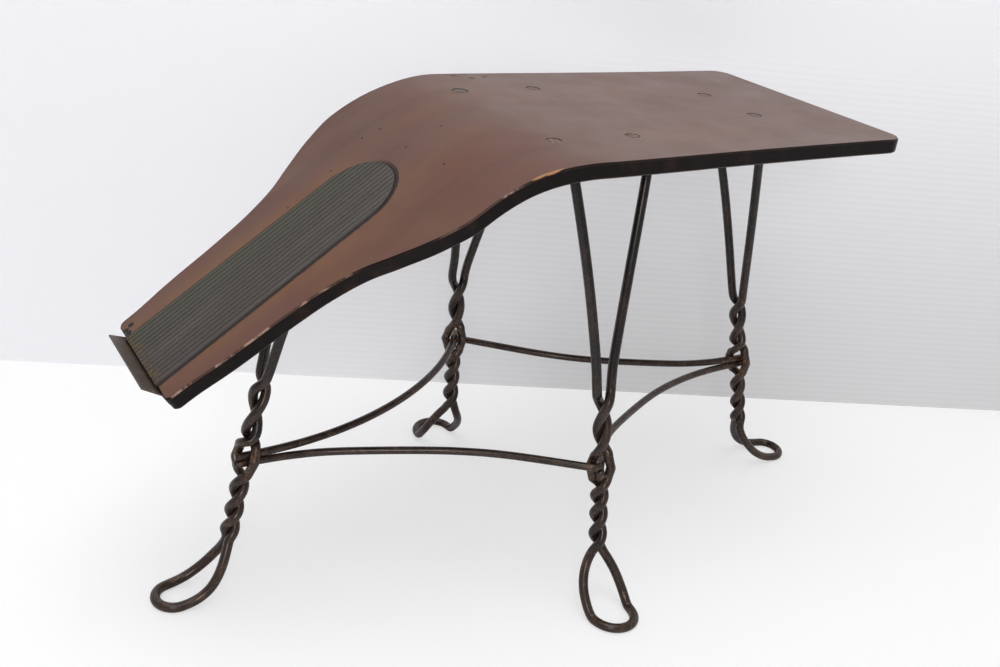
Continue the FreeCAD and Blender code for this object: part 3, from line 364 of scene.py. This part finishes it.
# Wear has left the ribs low, so the valleys between them are raised by this.
valley_fill = 0.0006
rubber_grey = (0.066, 0.056, 0.051)
rubber_pale = (0.090, 0.079, 0.071)
rubber_green = (0.066, 0.068, 0.050)
groove_dust_and_light = (0.085, 0.076, 0.069)
rubber_black = (0.020, 0.018, 0.017)
grit_yellow = (0.150, 0.095, 0.040)
same_point = 1e-6
quad_turn = math.radians(0.6)
sharp_turn = math.radians(35.0)


def merged(name):
    """A CAD node's solid again, with its loose triangles joined at their corners."""
    form = bmesh.new()
    form.from_mesh(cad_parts[name].data)
    bmesh.ops.remove_doubles(form, verts=form.verts, dist=same_point)
    return form


def mesh_of(form, name):
    """The mesh of a form that is finished with."""
    mesh = bpy.data.meshes.new(name)
    form.to_mesh(mesh)
    form.free()
    return mesh


def piece(name, form, finish, slot, *nodes, sharp=True):
    """A finished piece, riding on the stool in place of the CAD nodes named."""
    for face in form.faces:
        face.smooth = True
    mesh = mesh_of(form, name)
    if sharp:
        mesh.set_sharp_from_angle(angle=sharp_turn)
    mesh.materials.append(finish)
    made = bpy.data.objects.new(name, mesh)
    bpy.context.scene.collection.objects.link(made)
    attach(made, "root")
    if nodes:
        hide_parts(*nodes)
    return made


tread_finish, tree, shader, place = finish_of("ribbed rubber")
tread = placed(tree, tread_reach, Vector=place)
aside = along(tree, place, to_right)
dusty = noise(tree, place, (10.0, 60.0, 10.0), 6.0, 0.65)
colour = mix(tree, ramped(tree, dusty, 0.38, 0.72), rubber_grey, rubber_pale)
green = product(tree, ramped(tree, aside, -0.005, 0.036), 0.75)
colour = mix(tree, green, colour, rubber_green)
# The valleys are painted lighter: dust, and painted light against the shade in them.
valley_dust_and_light = ramped(tree, tread["Raised"], rib_crest * 0.7, -0.0004)
colour = mix(tree, product(tree, valley_dust_and_light, 0.75), colour, groove_dust_and_light)
# The near edge is painted black: a painted shadow of the gap beside the tread.
near_edge_shade = product(
    tree, ramped(tree, tread["Off"], tread_half_width - 0.0008, tread_half_width - 0.0002),
    ramped(tree, aside, 0.020, -0.010))
colour = mix(tree, product(tree, near_edge_shade, 0.8), colour, rubber_black)
pitted = patches(tree, place, (0.55, 0.78), 650.0, 4.0, 0.7)
colour = mix(tree, product(tree, pitted, 0.45), colour, rubber_black)
gritty = product(tree, ramped(tree, tread["Run"], ramp_length - 0.011, ramp_length - 0.002),
                 patches(tree, place, (0.46, 0.6), 330.0, 5.0, 0.7))
colour = mix(tree, gritty, colour, grit_yellow)
feed(tree, shader.inputs["Base Color"], colour)
feed(tree, shader.inputs["Roughness"], maths(tree, "MULTIPLY_ADD", dusty, 0.25, 0.60))
height = maths(tree, "MULTIPLY_ADD", gritty, 2.0, noise(tree, place, 420.0, 6.0, 0.65))
relief(tree, shader, height, strength=0.55, distance=0.0004)
shader.inputs["Specular IOR Level"].default_value = 0.3

tread_form = merged("foot_tread")
for vert in tread_form.verts:
    if -tread_bed / 2 < (vert.co - ramp_top).dot(ramp_out) < 0.0:
        vert.co += ramp_out * valley_fill
bmesh.ops.dissolve_limit(
    tread_form, angle_limit=quad_turn, verts=tread_form.verts, edges=tread_form.edges)
ribbing = [
    edge for edge in tread_form.edges
    if edge.calc_face_angle(0.0) > sharp_turn and edge.calc_length() > tread_half_width
]
bmesh.ops.bevel(
    tread_form, geom=ribbing, offset=rib_ease, affect="EDGES", segments=3, profile=0.5,
    material=-1, clamp_overlap=True)
piece("ribbed_tread", tread_form, tread_finish, "ribbed_rubber", "foot_tread")


# The heel stop is a strip of sheet metal folded outwards along the ramp's end,
# to catch the heel of the shoe. Three nails hold its flange, and it has gone
# dull brown, with bright scratches along its edges.
sheet_brown = (0.050, 0.031, 0.023)
sheet_grey = (0.084, 0.063, 0.050)
rust_orange = (0.230, 0.100, 0.035)
steel_grey = (0.240, 0.215, 0.190)

stop_finish, tree, shader, place = finish_of("dulled sheet")
tarnish = patches(tree, place, (0.36, 0.66), 42.0, 7.0, 0.65)
colour = mix(tree, tarnish, sheet_brown, sheet_grey)
rusty = patches(tree, place, (0.58, 0.72), 95.0, 7.0, 0.7)
colour = mix(tree, product(tree, rusty, 0.7), colour, rust_orange)
bright = placed(tree, edge_wear, Vector=place, Radius=0.0007, Turn=0.2, Breakup=1.2)["Mask"]
colour = mix(tree, bright, colour, steel_grey)
feed(tree, shader.inputs["Base Color"], colour)
feed(tree, shader.inputs["Roughness"], maths(tree, "MULTIPLY_ADD", rusty, 0.25, 0.45))
relief(tree, shader, noise(tree, place, 300.0, 6.0), strength=0.35, distance=0.0003)
shader.inputs["Metallic"].default_value = 0.30
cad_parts["heel_stop"].data.materials[0] = stop_finish


# The heel stop's three nails are of steel, darkened with age. They have round
# heads, and are driven through its flange into the end of the ramp.
nail_level = -0.0084
nail_spread = 0.040
nail_head = 0.0025
nail_head_height = 0.0012
nail_shank = 0.0010
nail_length = 0.0140
nail_point = 0.0020
sheet_thickness = 0.0012


def turned(profile, steps=32):
    """A mesh turned about z from a profile of (radius, height) points."""
    form = bmesh.new()
    verts = [form.verts.new((radius, 0.0, level)) for radius, level in profile]
    edges = [form.edges.new(pair) for pair in zip(verts, verts[1:])]
    bmesh.ops.spin(
        form, geom=verts + edges, cent=(0, 0, 0), axis=upward, angle=2 * math.pi,
        steps=steps, use_merge=True)
    bmesh.ops.remove_doubles(form, verts=form.verts, dist=same_point)
    bmesh.ops.recalc_face_normals(form, faces=form.faces)
    # A spin leaves its faces in another order each run, so they are put in one.
    form.verts.index_update()
    ordered = sorted(form.faces, key=lambda face: sorted(vert.index for vert in face.verts))
    for index, face in enumerate(ordered):
        face.index = index
    form.faces.sort()
    return mesh_of(form, "turned")


def upright(out, roll=0.0):
    """The turn that brings z to the way out of a face."""
    return out.to_track_quat("Z", "Y").to_matrix().to_4x4() @ Matrix.Rotation(roll, 4, "Z")


def set_in(form, mesh, point, turn):
    """A copy of a mesh, turned and set in a form at a point."""
    before = set(form.verts)
    form.from_mesh(mesh)
    fresh = [vert for vert in form.verts if vert not in before]
    bmesh.ops.transform(form, matrix=Matrix.Translation(point) @ turn, verts=fresh)


nail = turned([
    (0.0, nail_head_height), (0.0012, 0.0011), (0.0020, 0.0007), (nail_head, 0.0),
    (nail_head - 0.0001, 0.0), (nail_shank, 0.0), (nail_shank, nail_point - nail_length),
    (0.0, -nail_length),
], steps=20)
nail_form = bmesh.new()
middle_nail = ramp_top + downhill * (ramp_length + sheet_thickness) + ramp_out * nail_level
for side in (-1.0, 0.0, 1.0):
    set_in(nail_form, nail, middle_nail + to_right * nail_spread * side, upright(downhill))

nail_finish, tree, shader, place = finish_of("darkened nail")
rusty = patches(tree, place, (0.42, 0.66), 260.0, 5.0, 0.65)
feed(tree, shader.inputs["Base Color"], mix(tree, rusty, steel_grey, sheet_brown))
feed(tree, shader.inputs["Roughness"], maths(tree, "MULTIPLY_ADD", rusty, 0.3, 0.35))
shader.inputs["Metallic"].default_value = 0.6
piece("stop_nails", nail_form, nail_finish, "nail_steel", "heel_stop_nails")


# Round plugs of the same wood close the bores over the bolts' heads. They were
# pressed in and varnished over, and they show as a fine ring with a dull face.
plug_radius = 0.00635
plug_depth = 0.0034
plug_sink = 0.00015
side_bolt_across = 0.0745
bend_bolt_ahead = 0.008
seat_bolt_behind = 0.0674
back_bolt_place = 0.186
back_bolt_across = 0.035
ramp_bolt_run = 0.092
ramp_bolt_across = 0.023

bend_bolt_lean = math.asin(bend_bolt_ahead / bend_radius)
bend_bolt_out = Vector((-math.sin(bend_bolt_lean), 0.0, math.cos(bend_bolt_lean)))
side_bolts, back_bolts, ramp_bolts = [], [], []
for side in (-1.0, 1.0):
    across = to_right * side_bolt_across * side
    side_bolts += [
        (bend_centre + bend_bolt_out * bend_radius + across, bend_bolt_out),
        (Vector((bend_start + seat_bolt_behind, 0.0, seat_top)) + across, upward),
    ]
    back_bolts.append((Vector((back_bolt_place, back_bolt_across * side, seat_top)), upward))
    across = to_right * ramp_bolt_across * side
    ramp_bolts.append((ramp_top + downhill * ramp_bolt_run + across, ramp_out))
seat_bolts = side_bolts + back_bolts

wood_plug = turned([
    (0.0, -plug_sink), (0.0055, -0.00018), (0.0061, -0.00035), (plug_radius, -0.0007),
    (plug_radius, -plug_depth), (0.0, -plug_depth),
])
plug_form = bmesh.new()
for point, out in seat_bolts:
    set_in(plug_form, wood_plug, point, upright(out))

plug_finish, tree, shader, place = finish_of("plug wood")
grain = placed(tree, long_grain, Vector=place)
colour = mix(tree, ramped(tree, grain["Streaks"], 0.25, 0.55), stain_brown, stain_dark)
scratched = marks(tree, place, scratched_plugs, radius=0.0062, ragged=2.6)
scratches = patches(tree, place, (0.5, 0.62), scratch_grain, 5.0)
colour = mix(tree, product(tree, scratched, scratches, 0.9), colour, rim_pale)
feed(tree, shader.inputs["Base Color"], colour)
feed(tree, shader.inputs["Roughness"], maths(tree, "MULTIPLY_ADD", scratched, 0.25, 0.38))
relief(tree, shader, grain["Pores"], strength=0.2, distance=0.0002)
shader.inputs["Specular IOR Level"].default_value = 0.26
piece("wooden_plugs", plug_form, plug_finish, "plug_wood", "seat_plugs")


# Each leg is one thick wire of bronzed steel, twisted on itself, opened into an
# eye for the stretchers and bent round into a loop to stand on. Its ends are
# hammered flat under the board, and wear has rubbed it to copper in places.
board_thickness = 0.0127
flat_end_gap = 0.0006
flat_end_radius = 0.0090
flat_end_depth = 0.0044
flat_end_inset = 0.0006
flat_end_drop = 0.0007
flat_end_room = 0.020
flat_end_top = board_thickness + flat_end_gap
strand_stop = 0.0095
neck_size = (0.0062, 0.0080, flat_end_depth)
neck_middle = (0.0106, 0.0, -flat_end_depth / 2)
neck_ease = 0.0010
bolt_hole = 0.0034
# Rounding an eight sided wire takes this much off its radius.
octagon_loss = 0.00045
eye_places = [
    Vector((-0.0024, 0.130, 0.1343)), Vector((-0.0024, -0.130, 0.1343)),
    Vector((-0.2693, 0.0, 0.1245)), Vector((0.270, 0.0, 0.1287)),
]
eye_room = 0.016
eye_reach = 0.032
# Bands of a leg below and above an eye, whose middles give the line through it.
eye_ends = [(-0.013, -0.006), (0.006, 0.013)]
# How far a strand is drawn in at a level above or below an eye's middle.
eye_draw = [(0.0, -0.0006), (0.0092, 0.0023), (0.0160, 0.0012), (0.0220, 0.0)]
bronze_dark = (0.0165, 0.0125, 0.0120)
bronze_brown = (0.050, 0.030, 0.022)
copper_rubbed = (0.170, 0.088, 0.052)

wire_finish, tree, shader, place = finish_of("bronzed wire")
streaks = noise(tree, place, (60.0, 60.0, 22.0), 6.0, 0.65)
low_down = ramped(tree, along(tree, place, upward), 0.260, 0.150)
browned = maths(tree, "MULTIPLY_ADD", low_down, 0.16, streaks)
colour = mix(tree, ramped(tree, browned, 0.46, 0.72), bronze_dark, bronze_brown)
rubbed = product(tree, patches(tree, place, (0.50, 0.70), 85.0, 6.0, 0.7),
                 maths(tree, "MULTIPLY_ADD", low_down, 0.40, 0.06))
colour = mix(tree, rubbed, colour, copper_rubbed)
rusty = product(tree, marks(tree, place, eye_places, radius=eye_room, ragged=3.0),
                patches(tree, place, (0.5, 0.68), 190.0, 5.0, 0.7))
colour = mix(tree, product(tree, rusty, 0.75), colour, rust_orange)
feed(tree, shader.inputs["Base Color"], colour)
dull = maths(tree, "MULTIPLY_ADD", noise(tree, place, 120.0), 0.18, 0.17)
feed(tree, shader.inputs["Roughness"], maths(tree, "MULTIPLY_ADD", rusty, 0.3, dull))
feed(tree, shader.inputs["Metallic"], maths(tree, "MULTIPLY_ADD", rusty, -0.3, 0.35))
relief(tree, shader, noise(tree, place, 330.0, 5.0, 0.6), strength=0.12, distance=0.0003)
shader.inputs["Specular IOR Level"].default_value = 0.55


def near(form, point, reach):
    """The part of a form within reach of a point, in the same order each time."""
    verts = [vert for vert in form.verts if (vert.co - point).length < reach]
    edges = dict.fromkeys(edge for vert in verts for edge in vert.link_edges)
    faces = dict.fromkeys(face for vert in verts for face in vert.link_faces)
    return [*verts, *edges, *faces]


def slimmed_eye(form, eye):
    """Draws the strands together above and below an eye, to the shape of a lens."""
    bmesh.ops.bisect_plane(form, geom=near(form, eye, eye_room), plane_co=eye, plane_no=upward)
    verts = [vert for vert in form.verts if (vert.co - eye).length < eye_reach]
    ends = []
    for low, high in eye_ends:
        band = [vert.co for vert in verts if low < vert.co.z - eye.z < high]
        ends.append(sum(band, Vector()) / len(band))
    lean = (ends[1] - ends[0]) / (ends[1].z - ends[0].z)
    for vert in verts:
        middle = ends[0] + lean * (vert.co.z - ends[0].z)
        level = abs(vert.co.z - eye.z)
        for (start, first), (stop, last) in zip(eye_draw, eye_draw[1:]):
            if start <= level < stop:
                draw = first + (last - first) * (level - start) / (stop - start)
                vert.co -= (vert.co - middle).normalized() * draw


def joined_quads(name):
    """A CAD node's solid with its triangles paired, so that rounding runs along it."""
    form = merged(name)
    bmesh.ops.join_triangles(
        form, faces=form.faces, angle_face_threshold=quad_turn, angle_shape_threshold=math.pi)
    return form


def rounded_wire(label, form, slot, node):
    """An eight sided wire rounded to its own size, and kept in the CAD's own box."""
    form.normal_update()
    for vert in form.verts:
        vert.co += vert.normal * octagon_loss
        for axis, (low, high) in enumerate(zip(cad_low, cad_high)):
            vert.co[axis] = min(max(vert.co[axis], low), high)
    wire = piece(label, form, wire_finish, slot, node, sharp=False)
    smooth = wire.modifiers.new("round", "SUBSURF")
    smooth.levels = smooth.render_levels = 2


def cut_off(form, point, ahead):
    """Cuts a strand square across, just short of the bolt through its flat end."""
    bmesh.ops.bisect_plane(
        form, geom=near(form, point, flat_end_room), plane_co=point + ahead * strand_stop,
        plane_no=-ahead, clear_outer=True)
    bmesh.ops.holes_fill(form, edges=[edge for edge in form.edges if edge.is_boundary])


def ring(outer, depth, inset, drop):
    """A ring for a bolt to pass through, hung from its top face, with eased corners."""
    return turned([
        (bolt_hole, 0.0), (outer - inset, 0.0), (outer, -drop), (outer, drop - depth),
        (outer - inset, -depth), (bolt_hole, -depth), (bolt_hole, 0.0),
    ])


def eased(form, ease):
    """Takes the sharpness off every edge of a form."""
    bmesh.ops.bevel(
        form, geom=form.edges[:], offset=ease, affect="EDGES", segments=2, profile=0.5,
        material=-1)


flat_end = ring(flat_end_radius, flat_end_depth, flat_end_inset, flat_end_drop)
neck_form = bmesh.new()
bmesh.ops.create_cube(neck_form, size=1.0)
bmesh.ops.scale(neck_form, vec=neck_size, verts=neck_form.verts)
bmesh.ops.translate(neck_form, vec=neck_middle, verts=neck_form.verts)
eased(neck_form, neck_ease)
neck = mesh_of(neck_form, "neck")
flat_form = bmesh.new()
# From its bolt a strand runs so far one way and so far out from the middle.
for name, label, bolts, way, run, outward in (
    ("left_leg", "left_leg_wire", side_bolts[:2], to_back, 0.0114, 0.0123),
    ("right_leg", "right_leg_wire", side_bolts[2:], to_back, 0.0114, 0.0123),
    ("front_leg", "front_leg_wire", ramp_bolts, downhill, 0.0238, -0.001),
    ("back_leg", "back_leg_wire", back_bolts, to_back, 0.0162, -0.002),
):
    form = joined_quads(name)
    for eye in eye_places:
        if near(form, eye, eye_room):
            slimmed_eye(form, eye)
    for face_point, out in bolts:
        point = face_point - out * flat_end_top
        across = to_right * outward * math.copysign(1.0, face_point.y)
        ahead = (way * run + across).normalized()
        ahead = (ahead - out * ahead.dot(out)).normalized()
        cut_off(form, point, ahead)
        set_in(flat_form, flat_end, point, upright(out))
        turn = Matrix((ahead, out.cross(ahead), out)).transposed().to_4x4()
        set_in(flat_form, neck, point, turn)
    rounded_wire(label, form, "leg_wire", name)
piece("flattened_ends", flat_form, wire_finish, "leg_wire")


# Four thinner wires of the same steel tie the legs. Each is bowed in under the
# seat, and its ends are pushed through the eyes of two legs and held there by
# the squeeze of the twist.
cut_end_turn = math.radians(60.0)
for name, label in (
    ("front_left_stretcher", "front_left_tie"),
    ("front_right_stretcher", "front_right_tie"),
    ("back_left_stretcher", "back_left_tie"),
    ("back_right_stretcher", "back_right_tie"),
):
    form = joined_quads(name)
    crease = form.edges.layers.float.new("crease_edge")
    for edge in form.edges:
        if edge.calc_face_angle(0.0) > cut_end_turn:
            edge[crease] = 1.0
    rounded_wire(label, form, "stretcher_wire", name)


# Quarter inch bolts hold the legs' flat ends under the board, each with a round
# washer and a hexagon nut, all of plain steel that has gone dull and brown.
head_radius = 0.0061
head_depth = 0.0026
head_inset = 0.0003
head_drop = 0.0004
shank_radius = 0.00315
tip_radius = 0.0024
tip_taper = 0.0009
bolt_tail = 0.0016
washer_radius = 0.0070
washer_depth = 0.0012
washer_ease = 0.0003
nut_radius = 0.00635
nut_depth = 0.0054
nut_ease = 0.0004
nut_turn = 0.4
flat_end_low = flat_end_top + flat_end_depth
washer_low = flat_end_low + washer_depth
nut_low = washer_low + nut_depth
bolt_end = nut_low + bolt_tail

bolt_finish, tree, shader, place = finish_of("old steel")
rusty = patches(tree, place, (0.40, 0.68), 150.0, 6.0, 0.65)
feed(tree, shader.inputs["Base Color"], mix(tree, rusty, steel_grey, sheet_brown))
feed(tree, shader.inputs["Roughness"], maths(tree, "MULTIPLY_ADD", rusty, 0.3, 0.36))
relief(tree, shader, noise(tree, place, 500.0, 5.0), strength=0.25, distance=0.0002)
shader.inputs["Metallic"].default_value = 0.75


def bolt_from(top):
    """A bolt whose flat head lies so far under the board's top face."""
    low = top + head_depth
    return turned([
        (0.0, -top), (head_radius - head_inset, -top), (head_radius, -top - head_drop),
        (head_radius, -low), (shank_radius, -low), (shank_radius, tip_taper - bolt_end),
        (tip_radius, -bolt_end), (0.0, -bolt_end),
    ], steps=24)


nut_form = bmesh.new()
bmesh.ops.create_cone(
    nut_form, cap_ends=True, segments=6, radius1=nut_radius, radius2=nut_radius,
    depth=nut_depth)
eased(nut_form, nut_ease)
nut = mesh_of(nut_form, "nut")

bolts, washers, nuts = bmesh.new(), bmesh.new(), bmesh.new()
washer = ring(washer_radius, washer_depth, washer_ease, washer_ease)
for bolt, seats in ((bolt_from(plug_depth), seat_bolts), (bolt_from(tread_bed), ramp_bolts)):
    for point, out in seats:
        set_in(bolts, bolt, point, upright(out))
for count, (point, out) in enumerate(seat_bolts + ramp_bolts):
    set_in(washers, washer, point - out * flat_end_low, upright(out))
    nut_middle = point - out * (washer_low + nut_low) / 2
    set_in(nuts, nut, nut_middle, upright(out, count * nut_turn))
piece("bolts", bolts, bolt_finish, "bolt_steel", "leg_bolts")
piece("washers", washers, bolt_finish, "bolt_steel", "leg_washers")
piece("nuts", nuts, bolt_finish, "bolt_steel", "leg_nuts")


# The stool stands on a white floor that meets a pale wall, with a painted shadow behind the legs
# and fine ribs painted as stripes of light, under a wide soft lamp and a smaller one in front,
# seen from its front left corner.
# From behind, the wall and the floor let the camera through to the stool.
wall_left = Vector((-0.385, 0.483, 0.0))
wall_right = Vector((0.723, -0.034, 0.0))
floor_white = (0.93, 0.93, 0.93)
floor_shown = (0.50, 0.50, 0.505)
floor_glow = 0.54
wall_pale = (0.80, 0.795, 0.83)
wall_shade = (0.56, 0.555, 0.57)
wall_glow = 0.22
wall_rib = 0.0075
stage_reach = 4.0
sky_light = 0.42
sky_shown = 0.90


def stage_plane(name, corners):
    """A plane of the stage: its paint's tree and shader, its places and its rays."""
    form = bmesh.new()
    form.faces.new([form.verts.new(corner) for corner in corners])
    mesh = mesh_of(form, name)
    made = bpy.data.objects.new(name, mesh)
    bpy.context.scene.collection.objects.link(made)
    paint, tree, shader, place = finish_of(name)
    shader.inputs["Roughness"].default_value = 0.8
    shader.inputs["Specular IOR Level"].default_value = 0.1
    shader.inputs["Emission Color"].default_value = (1.0, 1.0, 1.0, 1.0)
    rays = tree.nodes.new("ShaderNodeLightPath").outputs
    behind = tree.nodes.new("ShaderNodeNewGeometry").outputs["Backfacing"]
    clear = add(tree, "MixShader", Fac=product(tree, behind, rays["Is Camera Ray"]))
    feed(tree, clear.inputs[1], shader.outputs[0])
    feed(tree, clear.inputs[2], add(tree, "BsdfTransparent").outputs[0])
    feed(tree, tree.nodes["Material Output"].inputs["Surface"], clear.outputs[0])
    mesh.materials.append(paint)
    return tree, shader, place, rays


along_wall = (wall_right - wall_left).normalized()
off_wall = Vector((along_wall.y, -along_wall.x, 0.0))
left_end = wall_left - along_wall * stage_reach
right_end = wall_right + along_wall * stage_reach
high = upward * stage_reach
tree, shader, place, rays = stage_plane("floor", [
    left_end, left_end + off_wall * stage_reach, right_end + off_wall * stage_reach, right_end,
])
seen = rays["Is Camera Ray"]
feed(tree, shader.inputs["Base Color"], mix(tree, seen, floor_white, floor_shown))
feed(tree, shader.inputs["Emission Strength"], product(tree, seen, floor_glow))

tree, shader, place, rays = stage_plane(
    "wall", [left_end, right_end, right_end + high, left_end + high])
level = along(tree, place, upward)
# Painted shadow on the wall low down behind the legs.
painted_shadow_behind_legs = product(
    tree, ramped(tree, level, 0.55, 0.0),
    ramped(tree, along(tree, place, along_wall), -0.30, 0.25))
feed(tree, shader.inputs["Base Color"], mix(tree, painted_shadow_behind_legs, wall_pale, wall_shade))
seen = maths(tree, "MAXIMUM", rays["Is Camera Ray"], rays["Is Glossy Ray"])
# The ribs are painted as stripes of light, and the wall is painted lighter towards the top.
rib_light_stripes = maths(tree, "SINE", product(tree, level, 2.0 * math.pi / wall_rib))
glow = maths(tree, "MULTIPLY_ADD", rib_light_stripes, 0.012, wall_glow)
glow = maths(tree, "MULTIPLY_ADD", ramped(tree, level, 0.25, 0.9), 0.09, glow)
feed(tree, shader.inputs["Emission Strength"], product(tree, seen, glow))

world = bpy.data.worlds.new("studio")
world.use_nodes = True
tree = world.node_tree
seen = tree.nodes.new("ShaderNodeLightPath").outputs["Is Camera Ray"]
sky = tree.nodes["Background"].inputs
sky["Color"].default_value = (1.0, 1.0, 1.0, 1.0)
feed(tree, sky["Strength"], maths(tree, "MULTIPLY_ADD", seen, sky_shown - sky_light, sky_light))
bpy.context.scene.world = world


stool_middle = Vector((0.0, 0.0, 0.2))


def lamp(name, place, side, power):
    """A square lamp turned to the stool's middle."""
    light = bpy.data.lights.new(name, "AREA")
    light.shape = "SQUARE"
    light.size = side
    light.energy = power
    made = bpy.data.objects.new(name, light)
    made.location = place
    made.rotation_euler = (stool_middle - Vector(place)).to_track_quat("-Z", "Y").to_euler()
    bpy.context.scene.collection.objects.link(made)


lamp("overhead lamp", (-0.3, -0.2, 2.2), side=1.6, power=23.0)
lamp("front lamp", (-1.2, -1.8, 1.2), side=0.5, power=9.0)

camera_data = bpy.data.cameras.new("camera")
camera_data.lens = 41.1187
camera = bpy.data.objects.new("camera", camera_data)
camera.location = (-0.549753, -0.771747, 0.635863)
camera.rotation_euler = (1.13331949, -0.11025418, -0.53754415)
bpy.context.scene.collection.objects.link(camera)
bpy.context.scene.camera = camera
bpy.context.scene.view_settings.view_transform = "Standard"
